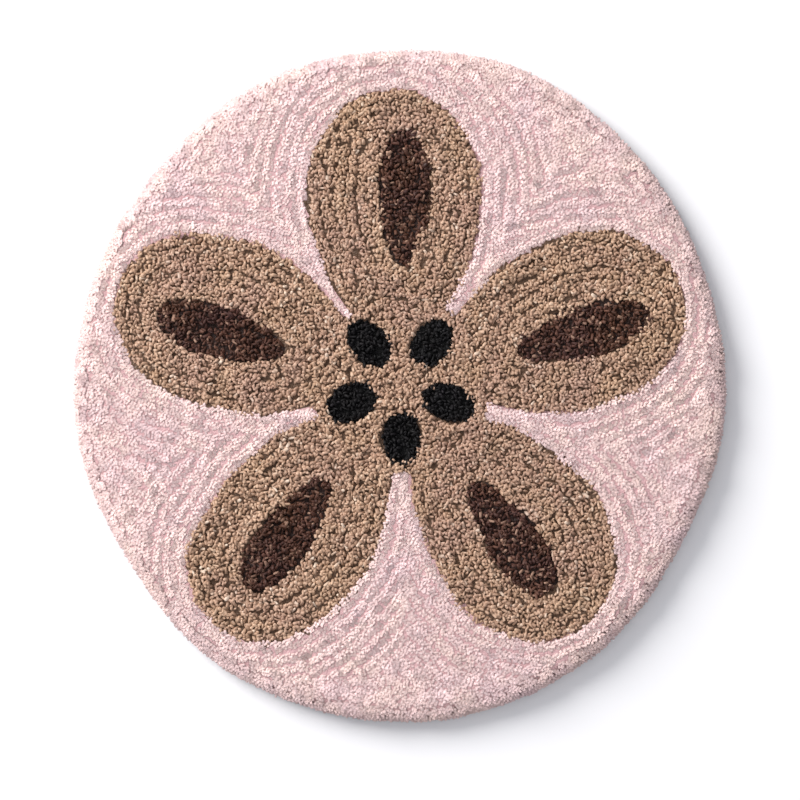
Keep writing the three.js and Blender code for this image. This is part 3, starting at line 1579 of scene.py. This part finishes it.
@dataclass
class Pile:
    """The tufts: their pattern, their rows and their meshes, one piece a zone.

    Attributes:
        form: The pile's form.
        cuts: Shape of a tuft in each yarn.
        flower: The pattern.
        planner: Lays out the rows.
        last_run: How far along the section the outermost row's line lies.
        crease: Length along a row over which it leans to one side and back.
        lip_run: Run at which the pile parts round the rim, into the top and the side.
        lip: How far the tips lean away from that parting.
        lip_reach: How far from the parting the lean dies away.
        lip_share: The lean's mean share, and how far it varies round the rim.
        lip_wave: Typical length of that variation.
        break_length: Typical length of an unbroken furrow.
        pairing: The lean of a pair of rows: its mean share, and its least and most.
        fibre_turns: Turns over which the plies' spun fibres start at random.
        inset: How far inside the rim's line the mat's tufts stop.
        rim_steps: Points on the rim's line.
    """

    form: PileForm
    cuts: dict[Yarn, TuftForm]
    flower: Flower = field(default_factory=Flower)
    planner: RowPlanner = field(default_factory=RowPlanner)
    last_run: float = 241.0
    crease: float = 40.0
    lip_run: float = 220.3
    lip: float = 1.5
    lip_reach: float = 5.0
    lip_share: tuple[float, float] = (0.75, 0.35)
    lip_wave: float = 60.0
    break_length: float = 32.0
    pairing: tuple[float, float, float] = (0.9, 0.0, 1.6)
    fibre_turns: float = 40.0
    inset: float = 2.0
    rim_steps: int = 2400

    def rim_line(self) -> np.ndarray:
        """Draws the line that the rim's rows follow, round the spread-out pile.

        Returns:
            The line as a closed run of points, (n, 2).
        """
        angle = np.arange(self.rim_steps) * TURN / self.rim_steps
        radius = self.last_run * self.form.trim.stretch(angle)
        return np.column_stack([radius * np.cos(angle), radius * np.sin(angle)])

    def on_mat(self, points: np.ndarray) -> np.ndarray:
        """True for each point inside the rim's line.

        Args:
            points: Points of the spread-out pile, (n, 2).

        Returns:
            A mask, (n,).
        """
        angle = np.arctan2(points[:, 1], points[:, 0])
        edge = self.last_run * self.form.trim.stretch(angle) - self.inset
        return np.hypot(points[:, 0], points[:, 1]) < edge

    def zones(self) -> list[Zone]:
        """Lists the zones: ground, petals, hearts, centre and seeds, the last on top.

        Returns:
            The zones, each with the lines that its rows follow or stop at.
        """
        flower = self.flower
        petals, hearts, seeds = flower.petal_leaves(), flower.heart_leaves(), flower.seed_leaves()
        centre = flower.centre_leaf()
        ground_guides = [Guide.of(self.rim_line(), EVERY_ROW)]
        for leaf in [*petals, centre]:
            ground_guides.append(Guide.of(leaf.line(), EVERY_ROW, outward=True))

        def on_ground(points: np.ndarray) -> np.ndarray:
            """True outside the flower and inside the rim."""
            covered = np.any([leaf.holds(points) for leaf in [*petals, centre]], axis=0)
            return self.on_mat(points) & ~covered

        zones = [Zone("ground", Yarn.BLUSH, ground_guides, on_ground)]
        for number, (petal, heart) in enumerate(zip(petals, hearts), 1):
            guides = [
                Guide.of(petal.line(), EVERY_ROW),
                Guide.of(heart.line(), 2, outward=True),
                Guide.of(centre.line(), 0, outward=True),
            ]

            def on_petal(
                points: np.ndarray, petal: Leaf = petal, heart: Leaf = heart
            ) -> np.ndarray:
                """True on the petal but not on its heart or the centre."""
                return petal.holds(points) & ~heart.holds(points) & ~centre.holds(points)

            zones.append(Zone(f"petal_{number}", Yarn.FAWN, guides, on_petal))
            heart_guides = [Guide.of(heart.line(), EVERY_ROW)]
            zones.append(Zone(f"heart_{number}", Yarn.BARK, heart_guides, heart.holds))

        def on_centre(points: np.ndarray) -> np.ndarray:
            """True on the centre but on none of its seeds."""
            return centre.holds(points) & ~np.any([seed.holds(points) for seed in seeds], axis=0)

        around_seeds = [Guide.of(seed.line(), 1, outward=True) for seed in seeds]
        centre_guides = [Guide.of(centre.line(), EVERY_ROW), *around_seeds]
        zones.append(Zone("centre", Yarn.FAWN, centre_guides, on_centre))
        zones += [
            Zone(f"seed_{number}", Yarn.SOOT, [Guide.of(seed.line(), EVERY_ROW)], seed.holds)
            for number, seed in enumerate(seeds, 1)
        ]
        return zones

    @staticmethod
    def owner(zones: list[Zone], points: np.ndarray) -> np.ndarray:
        """Finds the zone that each point belongs to, the ground where no other holds it.

        Args:
            zones: The zones, the last on top.
            points: Points of the spread-out pile, (n, 2).

        Returns:
            The zones' numbers, (n,).
        """
        owner = np.zeros(len(points), dtype=int)
        for number, zone in enumerate(zones[1:], 1):
            owner[zone.holds(points)] = number
        return owner

    def build(self) -> list[tuple[Zone, bpy.types.Object]]:
        """Makes the pieces of the pile.

        Returns:
            Each piece with its zone. The ground is cut into a wedge between each two petals.
        """
        zones = self.zones()
        tufts = self.planner.plan(zones, self.on_mat)
        owner = self.owner(zones, tufts.places)
        made = []
        for number, zone in enumerate(zones):
            mine = tufts.where(owner == number)
            cut = self.cuts[zone.yarn]
            if number:
                made.append((zone, self.piece(f"{zone.name}_pile", mine, cut, number)))
                continue
            angle = np.degrees(np.arctan2(mine.places[:, 1], mine.places[:, 0]))
            step = 360.0 / self.flower.petals
            wedge = ((angle - self.flower.heading) % 360.0 // step).astype(int)
            for part in range(self.flower.petals):
                name = f"ground_{part + 1}_pile"
                seed = Draw.GROUND.value + part
                made.append((zone, self.piece(name, mine.where(wedge == part), cut, seed)))
        return made

    def leans(self, tufts: Tufts, tuft: TuftForm) -> np.ndarray:
        """How far each tuft's tip is moved sideways by its row and by the parting at the rim.

        Along the square to its row it is a smooth sway, plus the pair's lean towards its furrow
        times a share that smoothly comes and goes. Outward it is the lip times e to the minus
        distance from the parting over its reach, inward on the parting's inner side.

        Args:
            tufts: The tufts.
            tuft: Their shape.

        Returns:
            The moves, (n, 3), level.
        """
        places = tufts.places
        phase_step = 2.1  # shifts each pair's sway far enough that no two look alike
        along = drift(places, self.crease, Draw.CREASE, phase_step * (tufts.rows // 2)) * tuft.sway
        mean, least, most = self.pairing
        parity = self.parity(tufts)
        come_and_go = tuft.broken * drift(places, self.break_length, Draw.BREAKS)
        along += tuft.pair * parity * np.clip(mean + come_and_go, least, most)
        run = np.hypot(places[:, 0], places[:, 1])
        beyond = (
            run / self.form.trim.stretch(np.arctan2(places[:, 1], places[:, 0])) - self.lip_run
        )
        fixed, varied = self.lip_share
        share = fixed + varied * drift(places, self.lip_wave, Draw.LIP)
        part = self.lip * np.sign(beyond) * np.exp(-np.abs(beyond) / self.lip_reach) * share
        outward = places / np.maximum(run, 1.0)[:, None] * part[:, None]
        level = np.zeros(len(along))
        square = np.column_stack([tufts.across, level])
        return square * along[:, None] + np.column_stack([outward, level])

    @staticmethod
    def parity(tufts: Tufts) -> np.ndarray:
        """One for tufts of odd rows and minus one for those of even rows."""
        return np.where(tufts.rows % 2 == 1, 1.0, -1.0)

    def facing(
        self, tips: np.ndarray, roots: np.ndarray, tufts: Tufts, tuft: TuftForm
    ) -> np.ndarray:
        """Directions that the tufts' shading turns to: up the tuft, lifted, arched and clumped.

        Args:
            tips: Tips of the tufts, (n, 3).
            roots: Their roots, (n, 3).
            tufts: The tufts.
            tuft: Their shape.

        Returns:
            Unit vectors, (n, 3).
        """
        square = np.column_stack([tufts.across, np.zeros(len(tips))])
        stand = (tips - roots) / np.linalg.norm(tips - roots, axis=1)[:, None]
        stand[:, 2] += tuft.upright
        stand -= square * (tuft.arch * self.parity(tufts))[:, None]
        stand[:, 0] += tuft.clump * drift(tufts.places, tuft.clump_length, Draw.CLUMP_X)
        stand[:, 1] += tuft.clump * drift(tufts.places, tuft.clump_length, Draw.CLUMP_Y)
        stand /= np.linalg.norm(stand, axis=1)[:, None]
        return stand

    def piece(self, name: str, tufts: Tufts, tuft: TuftForm, seed: int) -> bpy.types.Object:
        """Makes one piece of the pile.

        Args:
            name: Its name.
            tufts: Its tufts.
            tuft: Their shape.
            seed: Picks its random draws.

        Returns:
            The object.
        """
        rng = np.random.default_rng(seed)
        phase_step = 2.9  # shifts each pair's ridge far enough that no two look alike
        tips, roots = self.form.tips_and_roots(tufts.places)
        lean = self.leans(tufts, tuft)
        square = np.column_stack([tufts.across, np.zeros(len(tips))])
        shift = phase_step * (tufts.rows // 2)
        stands = tuft.ridge * drift(tufts.places, self.crease, Draw.RIDGE, shift)
        upward = tips - roots
        tips = tips + upward * (stands / np.linalg.norm(upward, axis=1))[:, None]
        plies = tuft.plies(tips, roots, lean, square, rng)
        stand = self.facing(tips, roots, tufts, tuft)
        count, each = plies.shape[:2]
        loops, sizes = tuft.faces()
        wrap = tuft.wrap()
        whole, own = rng.uniform(0, 1, len(tips)), rng.uniform(0, 1, count)
        tone = (1 - tuft.mixed) * np.repeat(whole, tuft.plies_per_tuft) + tuft.mixed * own
        start = rng.uniform(0, self.fibre_turns, (count, 1, 1)) * [1, 0]
        yarn = np.tile(wrap, (count, 1)).reshape(count, -1, 2) + start
        made = put_mesh(
            name,
            plies.reshape(-1, 3),
            (loops[None, :] + each * np.arange(count)[:, None]).ravel(),
            np.tile(sizes, count),
            {"OFBake": cells(count, wrap), "yarn": yarn.reshape(-1, 2)},
            {
                "tone": np.repeat(tone, each),
                "stand": np.repeat(stand, tuft.plies_per_tuft * each, axis=0),
            },
        )
        triangles = count * int((sizes - 2).sum())
        log.info("%s: %d tufts, %d triangles", name, len(tufts.rows), triangles)
        return made


@dataclass
class Studio:
    """The pale floor, the soft lights and the camera that looks straight down.

    Attributes:
        view_width: Width that the camera takes in, at the height of the mat's rim.
        rim: Height of the mat's rim where it is widest.
        height: Height of the camera over the floor.
        below: How far under the mat's middle the picture's middle lies.
        sun: Heading and elevation of the key light in degrees.
        reach: Distance of the key light from the mat.
        softness: Diameter of the key light.
        power: Power of the key light in watts.
        fill: Strength of the light that the white room gives.
        board: Half the floor's side.
        gap: How far the floor lies under the mat.
        far: How far the camera sees, in metres.
    """

    view_width: float = 559.2
    rim: float = 7.5
    height: float = 2200.0
    below: float = 9.5
    sun: tuple[float, float] = (142.0, 30.0)
    reach: float = 3000.0
    softness: float = 1900.0
    power: float = 137.0
    fill: float = 0.64
    board: float = 3000.0
    gap: float = 0.3
    far: float = 20.0

    def camera(self) -> None:
        """Places the camera over the mat, looking straight down, +Y up in the picture."""
        sensor = 36.0
        data = bpy.data.cameras.new("camera")
        data.sensor_width = sensor
        data.lens = sensor * (self.height - self.rim) / self.view_width
        data.clip_end = self.far
        made = bpy.data.objects.new("camera", data)
        made.location = Vector((0.0, -self.below, self.height)) * MM
        bpy.context.scene.collection.objects.link(made)
        bpy.context.scene.camera = made

    def floor(self) -> bpy.types.Object:
        """Makes the pale floor, a plain painted board just under the mat.

        Returns:
            The object.
        """
        turns = ((-1, -1), (1, -1), (1, 1), (-1, 1))
        corners = np.array([[self.board * x, self.board * y, -self.gap] for x, y in turns])
        made = put_mesh("floor", corners, np.arange(4), np.array([4]))
        finish = bpy.data.materials.new("floor_matt_white_paint")
        finish.use_nodes = True
        finish.node_tree.nodes.clear()
        surface = add_node(
            finish.node_tree,
            "ShaderNodeBsdfDiffuse",
            inputs={"Color": linear("#f4f4f6")},
        )
        add_node(
            finish.node_tree, "ShaderNodeOutputMaterial", inputs={"Surface": surface.outputs[0]}
        )
        made.data.materials.append(finish)
        return made

    def lights(self) -> None:
        """Hangs one large soft lamp to the upper left and lets a white room fill the shadows."""
        world = bpy.data.worlds.new("white_room")
        world.use_nodes = True
        sky = world.node_tree.nodes["Background"]
        sky.inputs["Color"].default_value = linear("#f9faff")
        sky.inputs["Strength"].default_value = self.fill
        bpy.context.scene.world = world

        data = bpy.data.lights.new("key", "AREA")
        data.shape = "DISK"
        data.size = self.softness * MM
        data.energy = self.power
        data.color = linear("#fffdfb")[:3]
        made = bpy.data.objects.new("key", data)
        azimuth, elevation = (math.radians(angle) for angle in self.sun)
        distance = self.reach * MM
        made.location = Vector(
            (
                distance * math.cos(azimuth) * math.cos(elevation),
                distance * math.sin(azimuth) * math.cos(elevation),
                distance * math.sin(elevation),
            )
        )
        made.rotation_euler = made.location.to_track_quat("Z", "Y").to_euler()
        bpy.context.scene.collection.objects.link(made)
        bpy.context.scene.view_settings.view_transform = "Standard"

    def build(self) -> None:
        """Sets up camera, floor and lights."""
        self.camera()
        self.floor()
        self.lights()


FINISHES = {
    # Pale pink soft-spun acrylic, brushed: loose hairs even out the light and let some of it
    # through, so to the eye the pile is soft and chalky, with shallow dusty-pink gaps whose shade
    # is partly real and partly painted in the root's colour.
    Yarn.BLUSH: YarnFinish(
        "yarn_acrylic_soft_spun_blush",
        deep="#ddc1be",
        body="#e2c8c4",
        light="#e6ccc9",
        fleck="#ebd5d1",
        tint="#ddc2c8",
        warm="#e9d1c7",
        root="#d0acae",
        fade=(0.0, 0.65),
        sheen=0.06,
        haze=0.93,
        seep=0.42,
        spread=0.9,
        leak=1.0,
        leaky=(0.0, 0.25),
        knots=1.5,
        fibre=0.1,
        streak=(0.93, 1.05),
        gloss=0.2,
    ),
    # Light brown acrylic, spun tighter: each ply end keeps its own small highlight over dark
    # roots, partly real shine and partly painted, as the colour fades to a painted dark shade
    # down each ply, so to the eye the pile is crisp and grainy.
    Yarn.FAWN: YarnFinish(
        "yarn_acrylic_soft_spun_fawn",
        deep="#a48269",
        body="#c6a186",
        light="#e0bfa3",
        fleck="#f2dfcb",
        tint="#bd978a",
        warm="#c8a685",
        root="#654b38",
        fade=(0.3, 1.02),
        sheen=0.12,
        haze=0.2,
        leak=0.4,
        knots=3.0,
        fibre=0.18,
        gloss=0.5,
        rough=(0.42, 0.68),
    ),
    # Dark brown acrylic of a heathered dye: one end in ten is pale, so to the eye it is deep
    # and speckled.
    Yarn.BARK: YarnFinish(
        "yarn_acrylic_soft_spun_bark",
        deep="#2e1812",
        body="#4a2c22",
        light="#724d3e",
        fleck="#b8947e",
        fleck_share=0.1,
        tint="#482b2a",
        warm="#56351f",
        root="#2a1711",
        knots=3.0,
        fibre=0.4,
        gloss=0.35,
        rough=(0.5, 0.75),
    ),
    # Near-black acrylic: only the faint shine on its fibres shows, so to the eye it is a soft,
    # almost flat dark.
    Yarn.SOOT: YarnFinish(
        "yarn_acrylic_soft_spun_soot",
        deep="#070607",
        body="#0e0c0e",
        light="#171416",
        fleck="#2b272b",
        tint="#0e0e12",
        warm="#120e0d",
        root="#060506",
        sheen=0.12,
        knots=3.0,
        gloss=0.22,
        rough=(0.5, 0.75),
    ),
}

CUTS = {
    # Full and even, with short curls and few strays, so that it closes over its roots.
    Yarn.BLUSH: TuftForm(
        plies_per_tuft=4,
        ply=1.3,
        uneven=0.08,
        lay=1.75,
        splay=0.5,
        droop=0.2,
        stray=0.1,
        curl=(0.1, 0.9),
        bend=0.4,
        mixed=0.4,
        ridge=0.25,
        pair=0.62,
        broken=0.5,
        comb=0.3,
        arch=0.7,
        clump=0.33,
        clump_length=14.0,
        upright=1.0,
        stations=((0.55, 0.98), (1.0, 0.74)),
    ),
    # Looser, with longer curls combed along the row, so that rows and furrows show.
    Yarn.FAWN: TuftForm(
        ply=1.15,
        lay=1.6,
        stray=0.7,
        droop=1.2,
        curl=(0.3, 1.3),
        pair=0.6,
        broken=0.35,
        comb=0.6,
        squash=0.12,
        arch=0.35,
        clump=0.1,
    ),
    # Small areas in the plain cut, with firm pairs of rows.
    Yarn.BARK: TuftForm(pair=0.6, arch=0.4),
    # Small areas in the plain cut, curled a little less.
    Yarn.SOOT: TuftForm(curl=(0.4, 1.6)),
}


def main() -> None:
    logging.basicConfig(level=logging.INFO, format="%(message)s")
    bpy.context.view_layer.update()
    Studio().build()

    form = PileForm(Trim())
    pile = Pile(form, CUTS)
    materials = {yarn: finish.material() for yarn, finish in FINISHES.items()}
    zones = pile.zones()
    yarns = list(Yarn)
    numbers = np.array([yarns.index(zone.yarn) for zone in zones])
    bed = MatBed(form).build(lambda points: numbers[pile.owner(zones, points)])
    for yarn in yarns:
        bed.data.materials.append(materials[yarn])
    bed.data.materials.append(BackingFinish().material())

    pieces = pile.build()
    for zone, piece in pieces:
        piece.data.materials.append(materials[zone.yarn])
    for piece in [bed, *(piece for _, piece in pieces)]:
        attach(piece, BODY)
    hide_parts(CAD_NODE)
    log.info("bed and %d pieces of pile", len(pieces))


if __name__ == "__main__":
    main()
